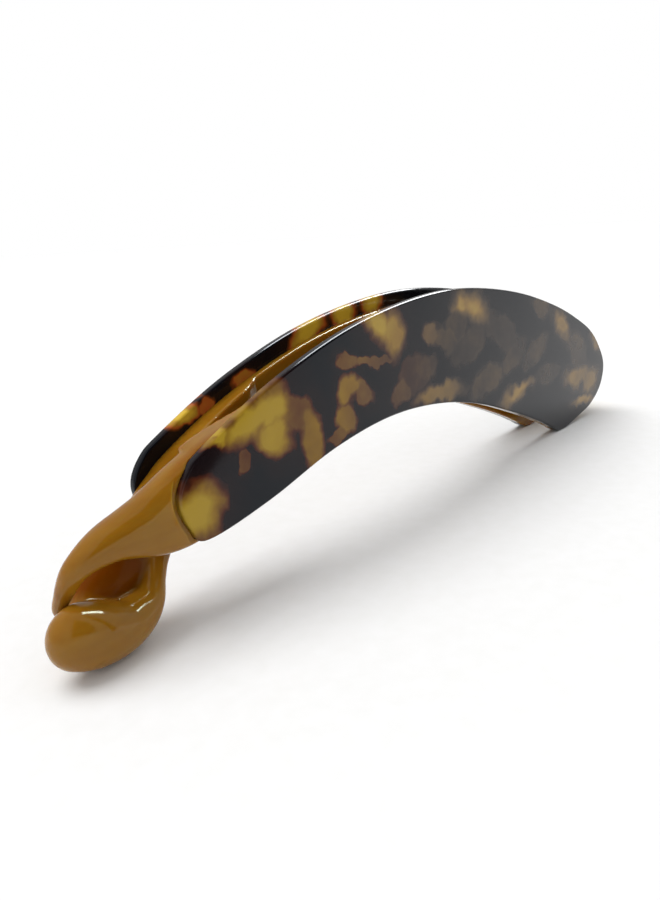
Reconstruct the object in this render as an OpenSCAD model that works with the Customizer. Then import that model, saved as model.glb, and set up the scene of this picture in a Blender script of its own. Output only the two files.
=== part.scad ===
// Interlocking banana barrette: two arched acetate arms on a barrel hinge.
// Each arm is a horn-coloured blade faced with a tortoiseshell plate, and the
// blades end in two strands that wind round each other to close the clip.
// Millimetres. +X runs to the hinge end, +Z is up, and the near arm is at -Y.
// The origin is the middle of the footprint, on the surface the clip stands on.

/* [Arms] */
// Thickness over the outer faces of both arms
clip_w = 10; // [9.6:0.2:11]
// Thickness of a tortoise plate
plate_t = 1.2; // [1:0.1:1.4]
// Distance between the two blades where the hair lies
hair_gap = 5.4; // [5:0.1:5.6]
// Distance between the two blades beside the relief step
wrist_gap = 3; // [2.6:0.1:3.4]
// Distance between the two blades at the twist end
nose_gap = 0.4; // [0.3:0.1:0.8]
// How far the horn edge stays below the plate edge along the top
top_ledge = 2.2; // [1:0.1:3]
// Width of the groove around the rounded end of a plate
groove_w = 0.6; // [0.4:0.1:0.8]

/* [Hinge] */
// Position of the hinge axis along the clip
hinge_x = 67.2; // [66.7:0.1:67.7]
// Height of the lower end of the barrel
barrel_z = 5.2; // [5.1:0.1:5.6]
// Length of the whole barrel
barrel_l = 8.4; // [8:0.1:8.6]
// Outer radius of the knuckles
knuckle_r = 2.1; // [2:0.05:2.2]
// Radius of the hinge pin
pin_r = 0.75; // [0.6:0.05:0.9]
// Thickness of a hinge leaf
leaf_t = 0.8; // [0.7:0.05:0.9]
// Length of a hinge leaf in front of the barrel
leaf_l = 11; // [10:0.5:13]
// Radius of the rivet shanks
rivet_r = 0.6; // [0.5:0.05:0.7]

/* [Hidden] */

HORN = [0.72, 0.5, 0.2];
TORTOISE = [0.17, 0.1, 0.07];
BRASS = [0.8, 0.68, 0.42];
STEEL = [0.75, 0.75, 0.77];

// Distances of the arm faces from the middle plane y = 0.
face_y = clip_w / 2;
glue_y = face_y - plate_t;
hair_y = hair_gap / 2;
wrist_y = wrist_gap / 2;
nose_y = nose_gap / 2;

// Side view of an arm as [x, z]: over the top from the twist end, round the
// hinge end, and back along the inside of the arch.
nose_edge = [[-50.9, 10.7], [-53.3, 12.8], [-54.5, 16.6], [-53, 19.7]];
top_edge = [
    [-49.7, 22], [-38.5, 27.3], [-23.8, 31.9], [-7.4, 34.4],
    [7.6, 34.5], [25.6, 32.1], [42.3, 27.9]
];
heel_edge = [
    [54.3, 23.6], [62.3, 19.8], [68.1, 14.9], [70.7, 10.6],
    [69.3, 6], [64.4, 2.7], [57.8, 1.2], [47.9, 0]
];
arch_edge = [
    [41.9, 2.3], [36.9, 4.5], [26, 8.8], [11.4, 13.8],
    [-1.7, 16.6], [-14.7, 17.4], [-27.8, 15.8], [-40.6, 12.4]
];
arm_edge = concat(nose_edge, top_edge, heel_edge, arch_edge);

// The near blade's ledge deepens from ledge_x over ledge_run.
ledge_x = -49.8;
ledge_run = 12;

// The blades follow the arm with a lower top edge; the near one rises to the
// plate's edge at the nose.
near_top = [for (p = top_edge) [p[0], p[1] - top_ledge * min(1, max(0, (p[0] - ledge_x) / ledge_run))]];
far_top = [for (p = top_edge) [p[0], p[1] - top_ledge]];
low_heel = [
    [53.6, 21.8], [60.8, 18.3], [66.1, 14.1], [68.9, 10.5],
    [68.1, 6.7], [64, 3], [57.8, 1.2], [47.9, 0]
];
near_nose = [[-53.3, 10], [-56.5, 10.7], [-57.4, 13.9], [-56.8, 17.3], [-54.7, 19.7]];
far_nose = [[-53.3, 9], [-55.9, 9.2], [-56.8, 11.9], [-56.2, 14.9], [-53.8, 17.6]];
near_blade_edge = concat(near_nose, near_top, low_heel, arch_edge);
far_blade_edge = concat(far_nose, far_top, low_heel, arch_edge);

// Plan of the blade's inner face as [x, distance from the middle plane].
step_x = -36;
plan_x0 = -60;
plan_x1 = 80;
inner_face = [
    [plan_x0, nose_y], [-54, nose_y], [-49, nose_y + 0.3], [-43, wrist_y - 0.3], [step_x - 3, wrist_y],
    [step_x - 1, wrist_y + 0.2], [step_x + 1, hair_y - 0.2], [step_x + 3, hair_y], [plan_x1, hair_y]
];

// Strands as [x, y, z, half width across, half height, squareness].
near_strand = [
    [-50.3, -2, 15.8, 1.6, 4.8, 4],
    [-54.2, -2, 15, 1.65, 4.5, 4],
    [-57, -2.5, 14.5, 2.3, 3.8, 3.4],
    [-59.6, -2.4, 14.4, 2.4, 3, 2.8],
    [-62.1, -2.1, 13.8, 2.2, 2.3, 2.4],
    [-64.1, -1.8, 12.9, 1.9, 1.9, 2.2],
    [-65.8, -1.4, 11.7, 1.5, 1.6, 2],
    [-67, -1, 10.6, 1.1, 1.1, 2],
    [-67.6, -0.8, 9.8, 0.8, 0.7, 2],
    [-67.9, -0.7, 9.3, 0.4, 0.3, 2]
];
far_strand = [
    [-50.3, 2, 13.8, 1.6, 3.8, 4],
    [-52.3, 1.8, 11.4, 1.6, 2.6, 3],
    [-54.2, 1.2, 9, 1.5, 1.5, 2.4],
    [-55.6, 0.4, 6.7, 1.4, 1.3, 2.2],
    [-57.1, -0.4, 4.8, 2, 1.8, 2],
    [-59.2, -0.9, 3.6, 2.6, 2.5, 2],
    [-61.8, -1.3, 3.1, 3, 3.1, 2],
    [-64.6, -1.7, 4.1, 3.2, 4.1, 2],
    [-67.1, -2.1, 4.9, 2.9, 3.8, 2],
    [-69.1, -2.3, 5.6, 2.1, 2.8, 2],
    [-70.2, -2.4, 5.8, 1.2, 1.5, 2],
    [-70.7, -2.4, 5.9, 0.4, 0.5, 2]
];
far_wall = [
    [-50.8, 2, 14, 1.5, 3.8, 4],
    [-53.3, 2.2, 11.6, 1.4, 4.6, 3],
    [-56.1, 2.8, 9.7, 1.4, 5, 2.6],
    [-59.3, 2.9, 8.3, 1.5, 4.8, 2.2],
    [-62.9, 2.3, 7, 1.5, 3.6, 2],
    [-65.7, 1, 5.8, 1.4, 2.6, 2],
    [-67.9, -0.8, 5.3, 1.1, 1.6, 2]
];

cheek_x = -48;
groove_x = -47;
groove_run = 5;

curve_steps = 5;
ring_points = 24;
reach = 30;
knuckle_gap = 0.25;
pin_play = 0.05;
head_r = 1.3;
head_t = 0.5;
rivet_head_r = 1.1;
rivet_head_t = 0.4;
rivet_pitch = 4.4;
rivet_setback = 4.8;
leaf_setback = 0.4;
far_knuckle_l = (barrel_l - 2 * knuckle_gap) * 0.36;
near_knuckle_l = (barrel_l - 2 * knuckle_gap - far_knuckle_l) / 2;
leaf_z = barrel_z + barrel_l / 2;
rivet_x = [hinge_x - rivet_setback - rivet_pitch, hinge_x - rivet_setback];

// One span of a smooth curve through points a, b, c and d, between b and c.
function span(a, b, c, d, t) =
    0.5 * (2 * b + (c - a) * t + (2 * a - 5 * b + 4 * c - d) * t * t + (3 * b - a - 3 * c + d) * t * t * t);

// A closed smooth curve through the points.
function closed_curve(pts) =
    let (n = len(pts))
    [for (i = [0 : n - 1], k = [0 : curve_steps - 1])
        span(pts[(i + n - 1) % n], pts[i], pts[(i + 1) % n], pts[(i + 2) % n], k / curve_steps)];

// An open smooth curve through the points, ends included.
function open_curve(pts) =
    let (n = len(pts))
    concat(
        [for (i = [0 : n - 2], k = [0 : curve_steps - 1])
            span(pts[max(0, i - 1)], pts[i], pts[i + 1], pts[min(n - 1, i + 2)], k / curve_steps)],
        [pts[n - 1]]
    );

function unit(v) = v / norm(v);
function signed_power(v, e) = sign(v) * pow(abs(v), e);
function place(s) = [s[0], s[1], s[2]];

// Ring of points around station i of a strand, square to its path.
function strand_ring(path, i) =
    let (
        n = len(path),
        s = path[i],
        along = unit(place(path[min(n - 1, i + 1)]) - place(path[max(0, i - 1)])),
        side = unit([0, 1, 0] - along[1] * along),
        rise = cross(along, side),
        e = 2 / s[5]
    )
    [for (k = [0 : ring_points - 1])
        let (a = 360 * k / ring_points)
        place(s) + side * s[3] * signed_power(cos(a), e) + rise * s[4] * signed_power(sin(a), e)];

// A tapering strand swept through its stations.
module strand(stations) {
    path = open_curve(stations);
    n = len(path);
    m = ring_points;
    points = [for (i = [0 : n - 1]) each strand_ring(path, i)];
    walls = [for (i = [0 : n - 2], k = [0 : m - 1])
        each [
            [i * m + k, (i + 1) * m + k, i * m + (k + 1) % m],
            [i * m + (k + 1) % m, (i + 1) * m + k, (i + 1) * m + (k + 1) % m]
        ]];
    start_cap = [[for (k = [0 : m - 1]) k]];
    end_cap = [[for (k = [0 : m - 1]) n * m - 1 - k]];
    polyhedron(points, concat(walls, start_cap, end_cap));
}

// A side view outline given thickness from y0 to y1, with y0 below y1.
module slab(outline, y0, y1) {
    translate([0, y1, 0])
        rotate([90, 0, 0])
            linear_extrude(y1 - y0)
                polygon(outline);
}

// Everything between the blade's inner face and the glued face.
module blade_plan() {
    translate([0, 0, -1])
        linear_extrude(2 * reach)
            polygon(concat(open_curve(inner_face), [[plan_x1, glue_y], [plan_x0, glue_y]]));
}

// How far the groove lies outside the plate's edge at x.
function groove_offset(x) = groove_w * min(1, max(0, (groove_x - x) / groove_run));

// The raised part of a blade on the twist side of the plate's rounded end.
module nose_cheek(edge) {
    difference() {
        slab(closed_curve(edge), glue_y - 0.01, face_y);
        translate([cheek_x, 0, -1])
            cube([plan_x1 - plan_x0, 2 * face_y, 2 * reach]);
        slab(closed_curve([for (p = arm_edge) [p[0] - groove_offset(p[0]), p[1]]]),
            glue_y - 0.02, face_y + 0.01);
    }
}

// A blade without its strand, on the far side of the middle plane.
module blade(edge) {
    difference() {
        intersection() {
            slab(closed_curve(edge), 0, glue_y);
            blade_plan();
        }
        for (x = rivet_x)
            rivet_hole(x);
    }
    nose_cheek(edge);
}

module rivet_hole(x) {
    translate([x, glue_y + 0.001, leaf_z])
        rotate([90, 0, 0])
            union() {
                cylinder(h = glue_y - hair_y + 1, r = rivet_r, $fn = 32);
                cylinder(h = rivet_head_t, r1 = rivet_r + rivet_head_t, r2 = rivet_r, $fn = 32);
            }
}

module near_side() {
    mirror([0, 1, 0])
        children();
}

module near_horn_blade() {
    color(HORN)
        union() {
            near_side()
                blade(near_blade_edge);
            strand(near_strand);
        }
}

module far_horn_blade() {
    color(HORN)
        union() {
            blade(far_blade_edge);
            strand(far_strand);
            strand(far_wall);
        }
}

module plate() {
    slab(closed_curve(arm_edge), glue_y, face_y);
}

module near_tortoise_plate() {
    color(TORTOISE)
        near_side()
            plate();
}

module far_tortoise_plate() {
    color(TORTOISE)
        plate();
}

// One knuckle from z0 upward, with the tongue that joins it to the leaf.
module knuckle(z0, length, bore_r) {
    difference() {
        translate([hinge_x, 0, z0])
            union() {
                cylinder(h = length, r = knuckle_r, $fn = 48);
                translate([-knuckle_r - 1, hair_y - leaf_t, 0])
                    cube([knuckle_r + 1, leaf_t, length]);
            }
        translate([hinge_x, 0, z0 - 1])
            cylinder(h = length + 2, r = bore_r, $fn = 48);
    }
}

// Flat of a leaf on the far blade, with its two rivet holes.
module leaf_flat() {
    difference() {
        translate([hinge_x - knuckle_r - leaf_setback - leaf_l, hair_y - leaf_t, barrel_z])
            cube([leaf_l, leaf_t, barrel_l]);
        for (x = rivet_x)
            translate([x, hair_y + 1, leaf_z])
                rotate([90, 0, 0])
                    cylinder(h = leaf_t + 2, r = rivet_r, $fn = 32);
    }
}

module near_hinge_leaf() {
    color(BRASS)
        near_side()
            union() {
                leaf_flat();
                knuckle(barrel_z, near_knuckle_l, pin_r);
                knuckle(barrel_z + barrel_l - near_knuckle_l, near_knuckle_l, pin_r);
            }
}

module far_hinge_leaf() {
    color(BRASS)
        union() {
            leaf_flat();
            knuckle(barrel_z + near_knuckle_l + knuckle_gap, far_knuckle_l, pin_r + pin_play);
        }
}

module hinge_pin() {
    color(STEEL)
        translate([hinge_x, 0, barrel_z])
            union() {
                cylinder(h = barrel_l, r = pin_r, $fn = 48);
                translate([0, 0, -head_t])
                    cylinder(h = head_t, r1 = head_r - 0.3, r2 = head_r, $fn = 48);
                translate([0, 0, barrel_l])
                    cylinder(h = head_t, r1 = head_r, r2 = head_r - 0.3, $fn = 48);
            }
}

// A rivet of the far leaf: a low head in the gap and a flare under the plate.
module rivet(x) {
    translate([x, glue_y, leaf_z])
        rotate([90, 0, 0])
            union() {
                cylinder(h = glue_y - hair_y + leaf_t, r = rivet_r, $fn = 32);
                cylinder(h = rivet_head_t, r1 = rivet_r + rivet_head_t, r2 = rivet_r, $fn = 32);
                translate([0, 0, glue_y - hair_y + leaf_t])
                    cylinder(h = rivet_head_t, r1 = rivet_head_r, r2 = rivet_head_r - 0.3, $fn = 32);
            }
}

module near_hinge_rivets() {
    color(BRASS)
        near_side()
            for (x = rivet_x)
                rivet(x);
}

module far_hinge_rivets() {
    color(BRASS)
        for (x = rivet_x)
            rivet(x);
}

near_horn_blade();
far_horn_blade();
near_tortoise_plate();
far_tortoise_plate();
near_hinge_leaf();
far_hinge_leaf();
hinge_pin();
near_hinge_rivets();
far_hinge_rivets();
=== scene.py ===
"""Looks of an interlocking banana barrette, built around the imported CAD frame.

Lengths are millimetres in the CAD frame; MM turns them into metres. Angles are degrees.
"""
import math

import bmesh
import bpy
import numpy as np
from mathutils import Matrix, Vector


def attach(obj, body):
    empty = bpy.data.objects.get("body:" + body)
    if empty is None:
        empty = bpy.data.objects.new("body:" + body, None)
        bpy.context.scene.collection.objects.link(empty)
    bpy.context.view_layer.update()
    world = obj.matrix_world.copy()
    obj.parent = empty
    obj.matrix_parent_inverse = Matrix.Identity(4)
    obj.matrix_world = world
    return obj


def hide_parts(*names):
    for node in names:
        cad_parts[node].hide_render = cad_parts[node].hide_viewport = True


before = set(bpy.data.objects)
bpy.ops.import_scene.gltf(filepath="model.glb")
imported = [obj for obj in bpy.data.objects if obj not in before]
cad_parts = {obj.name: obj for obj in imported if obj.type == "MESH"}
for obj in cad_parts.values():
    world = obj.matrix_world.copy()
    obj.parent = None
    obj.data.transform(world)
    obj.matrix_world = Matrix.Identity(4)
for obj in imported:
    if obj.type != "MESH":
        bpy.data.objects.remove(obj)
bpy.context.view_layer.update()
MM = 0.001

# Layers of an arm, as distances from the middle plane y = 0.
FACE_Y = 5.0
GLUE_Y = 3.8
HAIR_Y = 2.7
WRIST_Y = 1.5
NOSE_Y = 0.2
LAP_Y = 0.3  # how far a blade reaches into its plate, out of sight

# A horn blade is thicker at the wrist, on the knob's side of STEP_X.
STEP_X = -36.0
BLADE_ENDS = (-60, 80)  # x range of the plan prism, past both ends of a blade
BLADE_HEIGHTS = (-1, 40)  # and its z range

# A ledge bares the plate's inner face along the top edge.
TOP_LEDGE = 2.2
LEDGE_START = -49.8
LEDGE_RAMP = 12

# A groove runs round the plate's rounded end, beyond GROOVE_START.
GROOVE_W = 0.95
GROOVE_Y = 4.3
GROOVE_START = -47
GROOVE_RAMP = 5
SEAT = 0.05  # clearance between a plate and its horn
CUT_PAST = 3  # how far a cutter reaches past the outer face

# Fineness of the meshes.
CURVE_STEPS = 12
PLATE_STEPS = 8
STRAND_STEPS = 8
BEAD_STEPS = 4
RING_POINTS = 64
BEAD_SIDES = 24
VOXEL = 0.2
SMOOTH_FACTOR = 0.5
SMOOTH_PASSES = 8
NOSE_PASSES = 26
NOSE_END = -45  # the strands are smoothed more, beyond this x
NOSE_RAMP = 4
SHARP_ANGLE = 40
EDGE_ROUND = 0.36
EDGE_SEGMENTS = 4
EDGE_ANGLE = 50

# Side view of an arm as (x, z), the same outline as the CAD nodes.
NOSE_EDGE = [(-50.9, 10.7), (-53.3, 12.8), (-54.5, 16.6), (-53, 19.7)]
TOP_EDGE = [
    (-49.7, 22), (-38.5, 27.3), (-23.8, 31.9), (-7.4, 34.4), (7.6, 34.5), (25.6, 32.1), (42.3, 27.9),
]
HEEL_EDGE = [
    (54.3, 23.6), (62.3, 19.8), (68.1, 14.9), (70.7, 10.6), (69.3, 6), (64.4, 2.7), (57.8, 1.2), (47.9, 0),
]
ARCH_EDGE = [
    (41.9, 2.3), (36.9, 4.5), (26, 8.8), (11.4, 13.8), (-1.7, 16.6), (-14.7, 17.4), (-27.8, 15.8),
    (-40.6, 12.4),
]
LOW_HEEL = [
    (53.6, 21.8), (60.8, 18.3), (66.1, 14.1), (68.9, 10.5), (68.1, 6.7), (64, 3), (57.8, 1.2), (47.9, 0),
]
NEAR_NOSE = [(-50.9, 10.7), (-51.6, 12.8), (-52, 16.6), (-51, 20.2)]
FAR_NOSE = [(-50.9, 10.7), (-51.6, 12.8), (-52, 15), (-51, 17.8)]
PLATE_EDGE = NOSE_EDGE + TOP_EDGE + HEEL_EDGE + ARCH_EDGE

# Strands as (x, y, z, half width across, half height, squareness).
NEAR_STRAND = [
    (-44, -2.9, 18.4, 2.0, 5.0, 6),
    (-49, -2.7, 16.4, 2.3, 5.3, 4),
    (-52.4, -2.6, 15.3, 2.4, 5.1, 3.1),
    (-55, -2.6, 14.7, 2.4, 4.6, 2.8),
    (-57.3, -2.5, 14.4, 2.4, 3.9, 2.6),
    (-59.6, -2.4, 14.3, 2.4, 3.1, 2.4),
    (-61.8, -2.2, 14.1, 2.3, 2.4, 2.3),
    (-63.8, -2.1, 13.6, 2.0, 2.0, 2.2),
    (-65.3, -1.9, 12.9, 1.7, 1.65, 2),
    (-66.4, -1.4, 11.8, 1.45, 1.4, 2),
    (-67, -0.7, 10.3, 1.2, 1.2, 2),
    (-67.3, 0.1, 8.8, 1.0, 1.0, 2),
    (-67.5, 0.8, 7.6, 0.85, 0.85, 2),
    (-67.5, 1.4, 6.6, 0.6, 0.6, 2),
    (-67.5, 1.7, 6.1, 0.3, 0.3, 2),
]
FAR_STRAND = [
    (-44, 2.9, 17.2, 2.0, 4.1, 6),
    (-49, 2.7, 15.2, 2.3, 4.3, 6),
    (-51.8, 2.4, 12.6, 2.1, 3.4, 4),
    (-54.1, 1.4, 9.3, 1.6, 1.8, 2.6),
    (-55.6, 0.4, 6.7, 1.4, 1.35, 2.2),
    (-57.1, -0.4, 4.6, 2, 1.7, 2),
    (-59.2, -0.9, 3.6, 2.6, 2.5, 2),
    (-61.8, -1.3, 3.2, 3, 3.1, 2),
    (-64.6, -1.7, 3.85, 3.2, 3.75, 2),
    (-67.1, -2.1, 4.9, 2.9, 3.8, 2),
    (-69.1, -2.3, 5.6, 2.1, 2.8, 2),
    (-70.2, -2.4, 5.9, 1.2, 1.5, 2),
    (-70.65, -2.4, 6, 0.4, 0.5, 2),
]
FAR_WALL = [
    (-44, 2.9, 17.2, 2.0, 4.1, 6),
    (-49, 2.7, 15, 2.2, 4.3, 5),
    (-53.3, 2.6, 12, 2.1, 4.2, 3.4),
    (-56.1, 2.8, 9.2, 2.0, 3.9, 2.4),
    (-59.3, 2.8, 7.0, 2.1, 3.6, 2),
    (-62.4, 2.4, 5.8, 2.2, 3.2, 2),
    (-65, 1.0, 4.9, 1.9, 2.5, 2),
    (-67.2, -1.1, 4.8, 1.3, 1.8, 2),
]
SPOON = FAR_STRAND[3:10]  # the stretch that is also filled by beads

# Acetate.
ACETATE_IOR = 1.49
POLISH_SCALE = 1500
HORN_SHINE = 0.36
PLATE_SHINE = 0.25
BLEND_WIDTH = 0.25  # how softly neighbouring patches run together
DARK_AT = 0.545  # ramp position where a patch ends
PAINTED_REFLECTION_X = (-28, 0)  # where the painted reflection comes in, from crisp patches to full painted reflection
WOBBLES = ((160, 4.0), (480, 2.0))  # noise scale and reach of the patches' ragged outlines

# Patches as (x, z, half_x, half_z, turn, fade) and optionally (y, half_y); fade levels out the middle.
# The next two patches are painted shade, darkening the horn round the near plate's end, in the groove, and
# in the recess behind the spoon.
GROOVE_SHADE = (-47.5, 16, 10, 8.6, 0, 0, -3.6, 1.6)
HOLLOW_SHADE = (-60.5, 7.6, 7.5, 4.2, 20, 0, 2.8, 3.8)
NEAR_PATCHES = [
    (-52.2, 14.8, 4.2, 4.2, 0, 0),
    (-44.6, 18.8, 0.9, 1.7, 0, 0.86),
    (-42.0, 24.0, 5.8, 2.9, 22, 0),
    (-44.4, 23.2, 3.2, 1.7, 15, 0),
    (-38.8, 23.6, 3.2, 3.0, 0, 0),
    (-47.6, 22.6, 2.4, 0.8, 20, 0.3),
    (-39.2, 20.3, 3.8, 2.9, -35, 0.45),
    (-35.0, 22.6, 4.0, 2.5, -15, 0.80),
    (-32.2, 18.4, 2.6, 4.8, 10, 0.66),
    (-24.4, 27.7, 2.2, 0.9, -8, 0.86),
    (-18.6, 27.0, 4.2, 0.7, -6, 0.84),
    (-24.4, 23.6, 2.3, 2.5, 0, 0.66),
    (-22.0, 22.4, 3.4, 1.7, -25, 0.80),
    (-25.2, 19.4, 1.8, 2.6, 12, 0.74),
    (-26.8, 17.2, 2.4, 1.0, 0, 0.84),
    (-17.4, 31.8, 5.6, 2.4, -28, 0.30),
    (-13.4, 29.8, 3.2, 4.4, 10, 0.45),
    (-3.6, 28.2, 3.0, 1.6, -20, 0.66),
    (0.6, 26.6, 4.6, 2.4, -25, 0.78),
    (3.4, 28.2, 3.4, 3.2, 0, 0.84),
    (-4.6, 23.2, 3.0, 2.2, 0, 0.86),
    (-12.0, 20.6, 3.0, 2.0, 0, 0.78),
    (9.4, 31.0, 8.0, 3.3, -22, 0.10),
    (5.4, 32.2, 3.4, 2.2, -10, 0.10),
    (-1.0, 18.2, 9.0, 1.8, 0, 0.52),
    (24.5, 20.2, 5.4, 2.8, 30, 0.84),
    (35.5, 28.2, 4.6, 2.2, -15, 0.78),
    (45.6, 23.4, 7.4, 3.0, -38, 0.32),
    (64.4, 18.2, 6.0, 2.6, -42, 0.48),
    (26.4, 12.8, 9.4, 2.1, 4, 0.18),
    (56.0, 10.8, 10.0, 3.0, -8, 0.42),
    (62.8, 8.4, 6.4, 4.2, 0, 0.44),
    (59.0, 4.5, 8.0, 1.7, -8, 0.20),
    (8.0, 24.6, 6.2, 3.0, 20, 0.87),
    (-8.0, 22.6, 5.0, 3.2, 0, 0.86),
    (20.0, 25.2, 7.0, 2.8, -20, 0.87),
    (33.5, 19.8, 6.2, 2.8, 20, 0.86),
    (40.0, 14.2, 5.6, 2.8, 0, 0.86),
    (14.0, 17.6, 6.6, 2.8, 10, 0.82),
    (55.0, 16.6, 6.4, 3.2, -30, 0.84),
]
MIRROR_TOP = 24  # near patches below this z and before MIRROR_END are mirrored onto the far plate
MIRROR_END = 40
MIRROR_FADE = 0.45
FAR_PATCHES = [
    (-22.0, 31.0, 4.6, 2.6, 24, 0),
    (-14.6, 32.8, 2.6, 2.4, 10, 0),
    (-7.4, 34.0, 3.6, 2.2, 5, 0),
    (-35.6, 26.2, 2.1, 1.8, 20, 0.8),
    (-42.4, 23.9, 1.8, 1.3, 20, 0.85),
    (-46.2, 23.0, 2.4, 1.4, 25, 0.3),
] + [
    (-x, z, half_x, half_z, -turn, min(fade, MIRROR_FADE))
    for x, z, half_x, half_z, turn, fade in NEAR_PATCHES if z < MIRROR_TOP and x < MIRROR_END
]

# Camera and studio.
CAMERA_PLACE = (-97.319, -66.848, 44.316)
CAMERA_HEADING = -47.81
CAMERA_HEIGHT = 17.099
CAMERA_TILT = -3.305
CAMERA_LENS = 28
FLOOR_HALF = 6000
WORLD_LEVEL = 0.66
KEY_DIRECTION = (0.22, -0.28, -0.93)
WINDOW_DIRECTION = (0.58, -0.02, 0.85)
WINDOW_SIZE = (0.30, 0.25)  # metres
WINDOW_AWAY = 0.4  # metres
LOW_FLAG = [(-40, -31, 0.5), (118, -151, 0.5), (118, -151, 160), (-40, -31, 160)]
CAMERA_FLAG = [(-5, -24, 6), (330, -24, 6), (330, 85, 6), (-5, 85, 6)]  # in the camera's own axes


# ---------------------------------------------------------------- curves

def clamp(value):
    """The value, kept between 0 and 1."""
    return min(1, max(0, value))


def span(a, b, c, d, t):
    """A point between b and c on a smooth curve through a, b, c and d."""
    return 0.5 * (
        2 * b + (c - a) * t + (2 * a - 5 * b + 4 * c - d) * t**2 + (3 * b - a - 3 * c + d) * t**3
    )


def closed_curve(points, steps=CURVE_STEPS):
    """A smooth loop through the points."""
    p = np.array(points, float)
    n = len(p)
    return np.array([
        span(p[i - 1], p[i], p[(i + 1) % n], p[(i + 2) % n], k / steps)
        for i in range(n) for k in range(steps)
    ])


def open_curve(points, steps=CURVE_STEPS):
    """A smooth line through the points."""
    p = np.array(points, float)
    n = len(p)
    rows = [
        span(p[max(0, i - 1)], p[i], p[i + 1], p[min(n - 1, i + 2)], k / steps)
        for i in range(n - 1) for k in range(steps)
    ]
    return np.array(rows + [p[-1]])


# ---------------------------------------------------------------- solids

def link_mesh(name, bm):
    """A new object with the bmesh as its mesh."""
    mesh = bpy.data.meshes.new(name)
    bm.to_mesh(mesh)
    bm.free()
    obj = bpy.data.objects.new(name, mesh)
    bpy.context.scene.collection.objects.link(obj)
    return obj


def new_object(name, verts, faces):
    """An object from vertices in millimetres, with its faces turned outwards."""
    mesh = bpy.data.meshes.new(name)
    mesh.from_pydata([tuple(v) for v in np.asarray(verts) * MM], [], faces)
    bm = bmesh.new()
    bm.from_mesh(mesh)
    bpy.data.meshes.remove(mesh)
    bmesh.ops.recalc_face_normals(bm, faces=bm.faces)
    return link_mesh(name, bm)


def prism(name, ring_a, ring_b):
    """A closed solid between two rings of the same number of points."""
    n = len(ring_a)
    walls = [(i, (i + 1) % n, n + (i + 1) % n, n + i) for i in range(n)]
    caps = [tuple(range(n)), tuple(range(2 * n - 1, n - 1, -1))]
    return new_object(name, np.vstack([ring_a, ring_b]), walls + caps)


def slab(name, outline, y0, y1):
    """A side view outline given thickness from y0 to y1."""
    o = np.asarray(outline)
    rings = [np.column_stack([o[:, 0], np.full(len(o), y), o[:, 1]]) for y in (y0, y1)]
    return prism(name, *rings)


def inner_plan(side):
    """Plan prism between a blade's inner face and its lap into the plate."""
    tip, heel = BLADE_ENDS
    face = open_curve([
        (tip, NOSE_Y), (-54, NOSE_Y), (-49, NOSE_Y + 0.3), (-43, WRIST_Y - 0.3), (STEP_X - 3, WRIST_Y),
        (STEP_X - 1, WRIST_Y + 0.2), (STEP_X + 1, HAIR_Y - 0.2), (STEP_X + 3, HAIR_Y), (heel, HAIR_Y),
    ])
    plan = np.vstack([face, [(heel, GLUE_Y + LAP_Y), (tip, GLUE_Y + LAP_Y)]])
    rings = [np.column_stack([plan[:, 0], side * plan[:, 1], np.full(len(plan), z)]) for z in BLADE_HEIGHTS]
    return prism("plan", *rings)


def strand(name, stations):
    """A tapering strand swept through its stations."""
    path = open_curve(stations, STRAND_STEPS)
    place = path[:, :3]
    along = np.gradient(place, axis=0)
    along /= np.linalg.norm(along, axis=1)[:, None]
    side = np.array([0, 1, 0]) - along[:, 1:2] * along
    side /= np.linalg.norm(side, axis=1)[:, None]
    rise = np.cross(along, side)
    angle = 2 * np.pi * np.arange(RING_POINTS) / RING_POINTS
    verts = []
    for i, (_, _, _, half_width, half_height, squareness) in enumerate(path):
        power = 2 / squareness
        across = np.sign(np.cos(angle)) * np.abs(np.cos(angle)) ** power * half_width
        upward = np.sign(np.sin(angle)) * np.abs(np.sin(angle)) ** power * half_height
        verts.append(place[i] + np.outer(across, side[i]) + np.outer(upward, rise[i]))
    n, m = len(path), RING_POINTS
    walls = [
        (i * m + k, i * m + (k + 1) % m, (i + 1) * m + (k + 1) % m, (i + 1) * m + k)
        for i in range(n - 1) for k in range(m)
    ]
    caps = [tuple(range(m)), tuple(range(n * m - 1, (n - 1) * m - 1, -1))]
    return new_object(name, np.vstack(verts), walls + caps)


def beads(name, stations):
    """Ellipsoids strung along a strand, which fill the inside of its bend."""
    bm = bmesh.new()
    for x, y, z, half_width, half_height, _ in open_curve(stations, BEAD_STEPS):
        size = Matrix.Diagonal((half_height * MM, half_width * MM, half_height * MM, 1))
        place = Matrix.Translation(Vector((x, y, z)) * MM)
        bmesh.ops.create_uvsphere(
            bm, u_segments=BEAD_SIDES, v_segments=BEAD_SIDES // 2, radius=1, matrix=place @ size,
        )
    return link_mesh(name, bm)


def apply_modifiers(obj):
    """Gives an object the mesh that its modifiers make."""
    dg = bpy.context.evaluated_depsgraph_get()
    mesh = bpy.data.meshes.new_from_object(obj.evaluated_get(dg))
    obj.modifiers.clear()
    obj.data = mesh


def boolean(obj, other, operation):
    """Cuts or keeps obj by another solid, which is used up."""
    mod = obj.modifiers.new("cut", "BOOLEAN")
    mod.operation = operation
    mod.solver = "EXACT"
    mod.object = other
    apply_modifiers(obj)
    bpy.data.objects.remove(other)


def join(name, objects):
    """One object from several overlapping closed solids, which are used up."""
    bm = bmesh.new()
    for obj in objects:
        bm.from_mesh(obj.data)
        bpy.data.objects.remove(obj)
    return link_mesh(name, bm)


def smooth(obj, passes, group=""):
    """Relaxes the skin, everywhere or by a vertex group."""
    mod = obj.modifiers.new("smooth", "SMOOTH")
    mod.factor = SMOOTH_FACTOR
    mod.iterations = passes
    mod.vertex_group = group
    apply_modifiers(obj)


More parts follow.
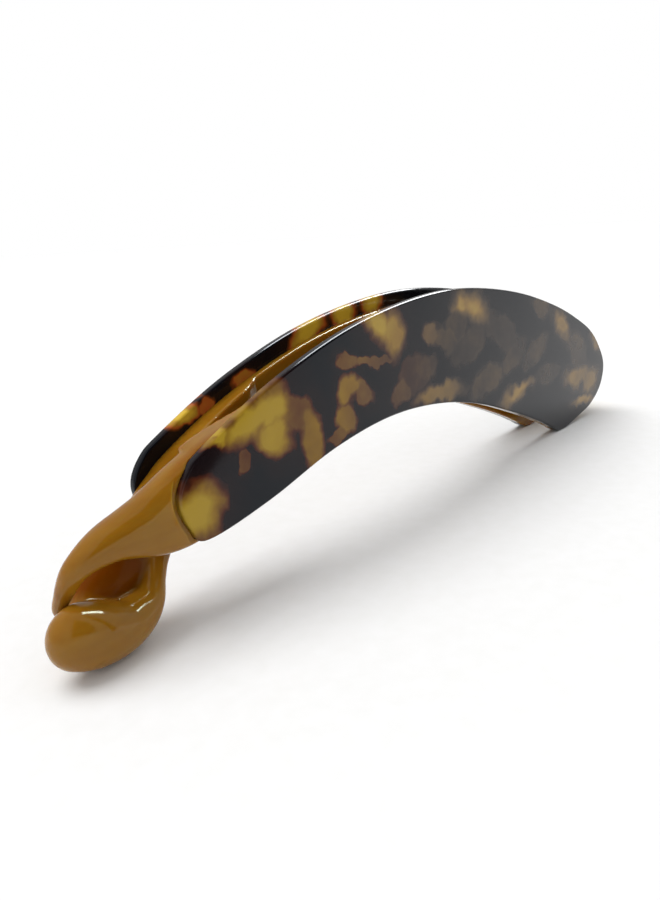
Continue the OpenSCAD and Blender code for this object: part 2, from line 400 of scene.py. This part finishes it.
def melt(obj):
    """Runs overlapping solids together into one skin, softest at the nose."""
    skin = obj.modifiers.new("skin", "REMESH")
    skin.mode = "VOXEL"
    skin.voxel_size = VOXEL * MM
    skin.use_smooth_shade = True
    smooth(obj, SMOOTH_PASSES)
    nose = obj.vertex_groups.new(name="nose")
    for vertex in obj.data.vertices:
        weight = clamp((NOSE_END - vertex.co.x / MM) / NOSE_RAMP)
        if weight > 0:
            nose.add([vertex.index], weight, "REPLACE")
    smooth(obj, NOSE_PASSES, "nose")


# ---------------------------------------------------------------- pieces

def full_ledge(edge):
    """The top edge lowered by the ledge over its whole length."""
    return [(x, z - TOP_LEDGE) for x, z in edge]


def ramped_ledge(edge):
    """The top edge lowered by the ledge, ramping in from LEDGE_START."""
    return [(x, z - TOP_LEDGE * clamp((x - LEDGE_START) / LEDGE_RAMP)) for x, z in edge]


def pocket(side, margin, depth_y):
    """Room cut around a plate's rounded end, from depth_y outwards."""
    edge = closed_curve([
        (x - margin * clamp((GROOVE_START - x) / GROOVE_RAMP), z) for x, z in PLATE_EDGE
    ])
    return slab("cutter", edge, side * depth_y, side * (FACE_Y + CUT_PAST))


def horn(name, side, outline, strands, beaded=()):
    """A horn blade: flat layer, relief step and the strands of its nose."""
    blade = slab(name + "_blade", closed_curve(outline), 0, side * (GLUE_Y + LAP_Y))
    boolean(blade, inner_plan(side), "INTERSECT")
    parts = [blade] + [strand(name + "_strand", stations) for stations in strands]
    if beaded:
        parts.append(beads(name + "_beads", beaded))
    obj = join(name, parts)
    melt(obj)
    boolean(obj, pocket(side, SEAT, GLUE_Y + SEAT), "DIFFERENCE")
    boolean(obj, pocket(side, GROOVE_W, GROOVE_Y), "DIFFERENCE")
    obj.data.shade_smooth()
    obj.data.set_sharp_from_angle(angle=math.radians(SHARP_ANGLE))
    return obj


def plate(name, side):
    """A tortoise plate with softly rounded edges."""
    obj = slab(name, closed_curve(PLATE_EDGE, PLATE_STEPS), side * GLUE_Y, side * FACE_Y)
    bevel = obj.modifiers.new("round", "BEVEL")
    bevel.width = EDGE_ROUND * MM
    bevel.segments = EDGE_SEGMENTS
    bevel.limit_method = "ANGLE"
    bevel.angle_limit = math.radians(EDGE_ANGLE)
    bevel.use_clamp_overlap = False
    bevel.harden_normals = True
    obj.data.shade_smooth()
    return obj


# ---------------------------------------------------------------- materials

def material(name):
    """A new material, its nodes and links, its shader and the object's own coordinates."""
    mat = bpy.data.materials.new(name)
    mat.use_nodes = True
    nodes = mat.node_tree.nodes
    coord = nodes.new("ShaderNodeTexCoord")
    return mat, nodes, mat.node_tree.links, nodes["Principled BSDF"], coord.outputs["Object"]


def noise(nodes, links, vector, scale, detail=3.0, rough=0.5):
    tex = nodes.new("ShaderNodeTexNoise")
    tex.inputs["Scale"].default_value = scale
    tex.inputs["Detail"].default_value = detail
    tex.inputs["Roughness"].default_value = rough
    links.new(vector, tex.inputs["Vector"])
    return tex


def ramp(nodes, links, value, stops):
    """A colour ramp; a stop's colour is three levels, or one level for a grey."""
    node = nodes.new("ShaderNodeValToRGB")
    elements = node.color_ramp.elements
    while len(elements) < len(stops):
        elements.new(0.5)
    for element, (at, colour) in zip(elements, stops):
        element.position = at
        element.color = (*np.broadcast_to(colour, 3), 1)
    links.new(value, node.inputs["Fac"])
    return node.outputs["Color"]


def wire(links, node, operation, values):
    """Sets a maths node's operation and its inputs, each a constant or a socket."""
    node.operation = operation
    for socket, value in zip(node.inputs, values):
        if isinstance(value, bpy.types.NodeSocket):
            links.new(value, socket)
        else:
            socket.default_value = value
    return node.outputs


def number_maths(nodes, links, operation, *values):
    return wire(links, nodes.new("ShaderNodeMath"), operation, values)[0]


def vector_maths(nodes, links, operation, *values):
    return wire(links, nodes.new("ShaderNodeVectorMath"), operation, values)


def fine_bump(nodes, links, shader, vector, scale, strength):
    """Faint polishing marks."""
    marks = noise(nodes, links, vector, scale, 4.0, 0.6)
    bump = nodes.new("ShaderNodeBump")
    bump.inputs["Strength"].default_value = strength
    bump.inputs["Distance"].default_value = 0.02 * MM
    links.new(marks.outputs["Fac"], bump.inputs["Height"])
    links.new(bump.outputs["Normal"], shader.inputs["Normal"])


def blotches(nodes, links, vector, patches):
    """Distance field of patches: below 1 inside a patch."""
    nearest = None
    for x, z, half_x, half_z, turn, fade, *layer in patches:
        y, half_y = layer or (0, 1000)
        local = nodes.new("ShaderNodeMapping")
        local.vector_type = "TEXTURE"
        local.inputs["Location"].default_value = (x * MM, y * MM, z * MM)
        local.inputs["Rotation"].default_value = (0, math.radians(-turn), 0)
        local.inputs["Scale"].default_value = (half_x * MM, half_y * MM, half_z * MM)
        links.new(vector, local.inputs["Vector"])
        value = vector_maths(nodes, links, "LENGTH", local.outputs["Vector"])["Value"]
        if fade:
            value = number_maths(nodes, links, "MAXIMUM", value, fade)
        if nearest is not None:
            value = number_maths(nodes, links, "SMOOTH_MIN", nearest, value, BLEND_WIDTH)
        nearest = value
    return nearest


def horn_material(name, shade_patch, painted_shade_colour, dull):
    """Streaky amber acetate, with painted shade (a deeper colour) and less shine inside a patch."""
    mat, nodes, links, shader, place = material(name)
    stretch = nodes.new("ShaderNodeMapping")
    stretch.inputs["Scale"].default_value = (1, 3, 4)
    links.new(place, stretch.inputs["Vector"])
    streak = noise(nodes, links, stretch.outputs["Vector"], 40, 4.0, 0.55).outputs["Fac"]
    colour = ramp(nodes, links, streak, [
        (0.30, (0.205, 0.078, 0.004)),
        (0.50, (0.250, 0.108, 0.006)),
        (0.72, (0.300, 0.145, 0.012)),
    ])
    # Painted shade: inside the patch the streaky colour is darkened towards the painted shade colour, and
    # the shine is lowered.
    field = blotches(nodes, links, place, [shade_patch])
    shade = ramp(nodes, links, field, [(0.70, painted_shade_colour), (0.98, 1)])
    shaded = vector_maths(nodes, links, "MULTIPLY", colour, shade)[0]
    links.new(shaded, shader.inputs["Base Color"])
    shine = ramp(nodes, links, field, [(0.70, dull), (0.98, HORN_SHINE)])
    links.new(shine, shader.inputs["Specular IOR Level"])
    rough = ramp(nodes, links, streak, [(0.3, 0.06), (0.8, 0.12)])
    links.new(rough, shader.inputs["Roughness"])
    shader.inputs["Subsurface Weight"].default_value = 0.5
    shader.inputs["Subsurface Radius"].default_value = (1.0, 0.45, 0.15)
    shader.inputs["Subsurface Scale"].default_value = 3 * MM
    shader.inputs["IOR"].default_value = ACETATE_IOR
    shader.inputs["Specular Tint"].default_value = (0.8, 1, 0.8, 1)
    fine_bump(nodes, links, shader, place, POLISH_SCALE, 0.05)
    return mat


def ragged(nodes, links, place):
    """The coordinates pushed about by noise, so that patches get ragged outlines."""
    vector = place
    for scale, reach in WOBBLES:
        wobble = noise(nodes, links, place, scale, 2.0, 0.5).outputs["Color"]
        centred = vector_maths(nodes, links, "SUBTRACT", wobble, (0.5, 0.5, 0.5))[0]
        vector = vector_maths(nodes, links, "MULTIPLY_ADD", centred, (reach * MM,) * 3, vector)[0]
    return vector


def painted_reflection_ramp(nodes, links, place, most):
    """The amount of painted reflection: rises from 0 to most along the plate, towards the hinge."""
    split = nodes.new("ShaderNodeSeparateXYZ")
    links.new(place, split.inputs[0])
    node = nodes.new("ShaderNodeMapRange")
    node.inputs["From Min"].default_value = PAINTED_REFLECTION_X[0] * MM
    node.inputs["From Max"].default_value = PAINTED_REFLECTION_X[1] * MM
    node.inputs["To Max"].default_value = most
    links.new(split.outputs["X"], node.inputs["Value"])
    return node.outputs["Result"]


def mix_colours(nodes, links, factor, plain, other):
    """Between two colours, on the colour sockets of a Mix node."""
    node = nodes.new("ShaderNodeMix")
    node.data_type = "RGBA"
    links.new(factor, node.inputs[0])
    links.new(plain, node.inputs[6])
    links.new(other, node.inputs[7])
    return node.outputs[2]


def tortoise_material(name, patches, painted_backlight, rim, painted_reflection):
    """Near-black acetate with amber patches that redden at their borders.

    With the painted reflection at 1 the patches turn softer and greyer towards the hinge, a painted
    reflection of the surroundings; at 0 all stay crisp.
    """
    mat, nodes, links, shader, place = material(name)
    field = blotches(nodes, links, ragged(nodes, links, place), patches)
    cloud = noise(nodes, links, place, 140, 3.0, 0.55).outputs["Fac"]
    shift = number_maths(nodes, links, "MULTIPLY_ADD", cloud, 0.5, -0.28)
    field = number_maths(nodes, links, "ADD", field, shift)
    # Painted reflection: towards the hinge the patch outlines soften and the colours move to the greyer
    # ramp below.
    painted_reflection_amount = painted_reflection_ramp(nodes, links, place, painted_reflection)
    slope = number_maths(nodes, links, "MULTIPLY_ADD", painted_reflection_amount, -0.25, 0.5)
    outside = number_maths(nodes, links, "SUBTRACT", field, 2 * DARK_AT)
    level = number_maths(nodes, links, "MULTIPLY_ADD", outside, slope, DARK_AT)
    # Painted backlight: the patch colours are scaled by the backlight level.
    crisp = ramp(nodes, links, level, [
        (0.18, (0.40 * painted_backlight, 0.26 * painted_backlight, 0.022 * painted_backlight)),
        (0.32, (0.25 * painted_backlight, 0.135 * painted_backlight, 0.014 * painted_backlight)),
        (0.41, rim),
        (0.475, (0.075 * painted_backlight, 0.018 * painted_backlight, 0.006)),
        (DARK_AT, (0.012, 0.006, 0.006)),
        (1.00, (0.004, 0.004, 0.006)),
    ])
    # Patch colours under the painted reflection, greyer and paler.
    painted_reflection_colours = ramp(nodes, links, level, [
        (0.18, (0.46, 0.32, 0.080)),
        (0.32, (0.31, 0.19, 0.056)),
        (0.41, (0.130, 0.084, 0.042)),
        (0.475, (0.044, 0.032, 0.025)),
        (DARK_AT, (0.011, 0.009, 0.010)),
        (1.00, (0.004, 0.004, 0.006)),
    ])
    links.new(mix_colours(nodes, links, painted_reflection_amount, crisp, painted_reflection_colours), shader.inputs["Base Color"])
    rough = ramp(nodes, links, cloud, [(0.3, 0.07), (0.75, 0.14)])
    links.new(rough, shader.inputs["Roughness"])
    shader.inputs["IOR"].default_value = ACETATE_IOR
    shader.inputs["Specular IOR Level"].default_value = PLATE_SHINE
    shader.inputs["Specular Tint"].default_value = (0.84, 0.92, 1.0, 1)
    fine_bump(nodes, links, shader, place, POLISH_SCALE, 0.04)
    return mat


def metal_material(name, colour, scale):
    """Pressed or drawn metal with fine marks across it."""
    mat, nodes, links, shader, place = material(name)
    marks = noise(nodes, links, place, scale, 5.0, 0.65).outputs["Fac"]
    tint = ramp(nodes, links, marks, [(0.3, tuple(0.75 * level for level in colour)), (0.7, colour)])
    links.new(tint, shader.inputs["Base Color"])
    rough = ramp(nodes, links, marks, [(0.3, 0.22), (0.75, 0.42)])
    links.new(rough, shader.inputs["Roughness"])
    shader.inputs["Metallic"].default_value = 1.0
    fine_bump(nodes, links, shader, place, 3 * scale, 0.15)
    return mat


def matt_material(name, scale, dark, light, shine):
    """Paper or cloth: a faint grain between two colours, without polish."""
    mat, nodes, links, shader, place = material(name)
    grain = noise(nodes, links, place, scale).outputs["Fac"]
    links.new(ramp(nodes, links, grain, [(0.3, dark), (0.7, light)]), shader.inputs["Base Color"])
    shader.inputs["Roughness"].default_value = 0.9
    shader.inputs["Specular IOR Level"].default_value = shine
    return mat


def dress(obj, mat):
    """Gives an object its material; a CAD node keeps its mesh as it is."""
    if obj.data.materials:
        for slot in obj.material_slots:
            slot.material = mat
    else:
        obj.data.materials.append(mat)


# ---------------------------------------------------------------- stage

def make_camera():
    """The camera, turned by its heading, its height above the horizon and its tilt."""
    heading, height, tilt = (math.radians(a) for a in (CAMERA_HEADING, CAMERA_HEIGHT, CAMERA_TILT))
    back = Vector((
        math.sin(heading) * math.cos(height), -math.cos(heading) * math.cos(height), math.sin(height),
    ))
    level = (-back).cross(Vector((0, 0, 1))).normalized()
    upright = level.cross(-back)
    right = level * math.cos(tilt) + upright * math.sin(tilt)
    up = upright * math.cos(tilt) - level * math.sin(tilt)
    data = bpy.data.cameras.new("camera")
    data.lens = CAMERA_LENS
    data.sensor_width = 36
    data.clip_start = 0.005
    camera = bpy.data.objects.new("camera", data)
    turn = Matrix((right, up, back)).transposed().to_4x4()
    camera.matrix_world = Matrix.Translation(Vector(CAMERA_PLACE) * MM) @ turn
    bpy.context.scene.collection.objects.link(camera)
    bpy.context.scene.camera = camera


def make_floor():
    """A plain pale floor at the part's lowest point."""
    corners = [(x * FLOOR_HALF, y * FLOOR_HALF, 0) for x, y in ((-1, -1), (1, -1), (1, 1), (-1, 1))]
    floor = new_object("floor", corners, [(0, 1, 2, 3)])
    dress(floor, matt_material("floor_paper", 400, (0.79, 0.79, 0.785), (0.81, 0.81, 0.81), 0.1))


def window(name, direction, level):
    """A large window above, seen only as highlights on polished surfaces."""
    width, depth = WINDOW_SIZE
    data = bpy.data.lights.new(name, "AREA")
    data.shape = "RECTANGLE"
    data.size = width
    data.size_y = depth
    data.energy = level * math.pi * width * depth
    away = Vector(direction).normalized()
    along = (Vector((1, 0, 0)) - away * away.x).normalized()
    turn = Matrix((along, away.cross(along), away)).transposed().to_4x4()
    light = bpy.data.objects.new(name, data)
    light.matrix_world = Matrix.Translation(away * WINDOW_AWAY) @ turn
    light.visible_diffuse = False
    bpy.context.scene.collection.objects.link(light)


def sun(name, direction, energy, spread):
    """A soft light that shines along the given direction, with no highlight of its own."""
    data = bpy.data.lights.new(name, "SUN")
    data.energy = energy
    data.angle = math.radians(spread)
    light = bpy.data.objects.new(name, data)
    light.rotation_mode = "QUATERNION"
    light.rotation_quaternion = Vector(direction).to_track_quat("-Z", "Y")
    light.visible_glossy = False
    bpy.context.scene.collection.objects.link(light)


def card(name, corners):
    """A black card that only shows as a dark shape in glossy reflections."""
    flag = new_object(name, corners, [(0, 1, 2, 3)])
    dress(flag, matt_material(name + "_cloth", 300, 0.004, 0.008, 0))
    flag.visible_camera = False
    flag.visible_diffuse = False
    flag.visible_shadow = False
    flag.visible_transmission = False


def make_world():
    """Even grey light all round, and white where the camera sees past the floor."""
    world = bpy.data.worlds.new("studio")
    world.use_nodes = True
    nodes, links = world.node_tree.nodes, world.node_tree.links
    soft = nodes["Background"]
    soft.inputs["Color"].default_value = (WORLD_LEVEL, WORLD_LEVEL, WORLD_LEVEL, 1)
    paper = nodes.new("ShaderNodeBackground")
    paper.inputs["Color"].default_value = (1, 1, 1, 1)
    rays = nodes.new("ShaderNodeLightPath")
    choose = nodes.new("ShaderNodeMixShader")
    links.new(rays.outputs["Is Camera Ray"], choose.inputs[0])
    links.new(soft.outputs[0], choose.inputs[1])
    links.new(paper.outputs[0], choose.inputs[2])
    links.new(choose.outputs[0], nodes["World Output"].inputs["Surface"])
    bpy.context.scene.world = world


def make_lights():
    """The key light, the window and the cards that the polish reflects."""
    sun("key", KEY_DIRECTION, energy=2.1, spread=46)
    window("window", WINDOW_DIRECTION, level=24)
    card("low_flag", LOW_FLAG)
    camera = bpy.context.scene.camera.matrix_world
    card("camera_flag", [camera @ (Vector(corner) * MM) / MM for corner in CAMERA_FLAG])


# ---------------------------------------------------------------- build

bpy.context.scene.view_settings.view_transform = "Standard"
make_camera()
make_floor()
make_world()
make_lights()

near_outline = NEAR_NOSE + ramped_ledge(TOP_EDGE) + LOW_HEEL + ARCH_EDGE
far_outline = FAR_NOSE + full_ledge(TOP_EDGE) + LOW_HEEL + ARCH_EDGE
near_horn = horn("near_horn", -1, near_outline, [NEAR_STRAND])
far_horn = horn("far_horn", 1, far_outline, [FAR_STRAND, FAR_WALL], SPOON)
near_plate = plate("near_plate", -1)
far_plate = plate("far_plate", 1)

# Painted shade on the horns: in the groove round the near plate's end, and in the recess behind the spoon.
dress(near_horn, horn_material("horn_near", GROOVE_SHADE, painted_shade_colour=(0.85, 0.66, 0.42), dull=0.25))
dress(far_horn, horn_material("horn_far", HOLLOW_SHADE, painted_shade_colour=(0.62, 0.36, 0.18), dull=0.06))
# The near plate gets a painted reflection, a grey veil towards the hinge.
dress(near_plate, tortoise_material("tortoise_near", NEAR_PATCHES, 0.95, (0.13, 0.055, 0.012), painted_reflection=1))
# The far plate's patches and redder borders are painted brighter, as light shining through from behind.
dress(far_plate, tortoise_material("tortoise_far", FAR_PATCHES, 1.5, (0.36, 0.08, 0.015), painted_reflection=0))

for piece, body, node, slot in (
    (near_horn, "near_arm", "near_horn_blade", "horn"),
    (far_horn, "far_arm", "far_horn_blade", "horn"),
    (near_plate, "near_arm", "near_tortoise_plate", "tortoise"),
    (far_plate, "far_arm", "far_tortoise_plate", "tortoise"),
):
    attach(piece, body)
    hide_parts(node)

brass = metal_material("brass", (0.78, 0.60, 0.30), 900)
steel = metal_material("steel", (0.66, 0.66, 0.68), 1200)
for node in ("near_hinge_leaf", "far_hinge_leaf", "near_hinge_rivets", "far_hinge_rivets"):
    dress(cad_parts[node], brass)
dress(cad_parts["hinge_pin"], steel)
